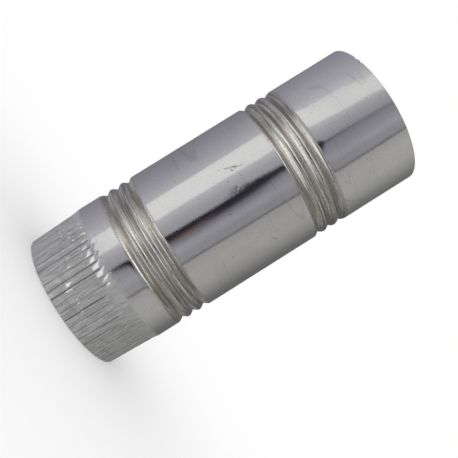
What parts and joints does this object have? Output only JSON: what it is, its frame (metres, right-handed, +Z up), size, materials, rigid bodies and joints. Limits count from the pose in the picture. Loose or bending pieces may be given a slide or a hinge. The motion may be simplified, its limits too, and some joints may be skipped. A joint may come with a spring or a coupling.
{
  "type": "stove pipe",
  "caption": "Short straight stove pipe of thin bright sheet steel, with a crimped end, rolled beads near both ends, a plain socket end and a folded seam up the back.",
  "frame": {"origin": "centre of the crimped rim, on the surface that the pipe stands on", "axes": "+Z up the pipe's axis from the crimped end to the plain end; the folded seam faces +Y"},
  "size_m": [0.1, 0.101, 0.2366],
  "materials": {
    "bright_sheet": "bright rolled sheet with fine brush lines round the pipe and light handling marks"
  },
  "bodies": {
    "root": {"pipe_wall": "bright_sheet"}
  },
  "joints": []
}
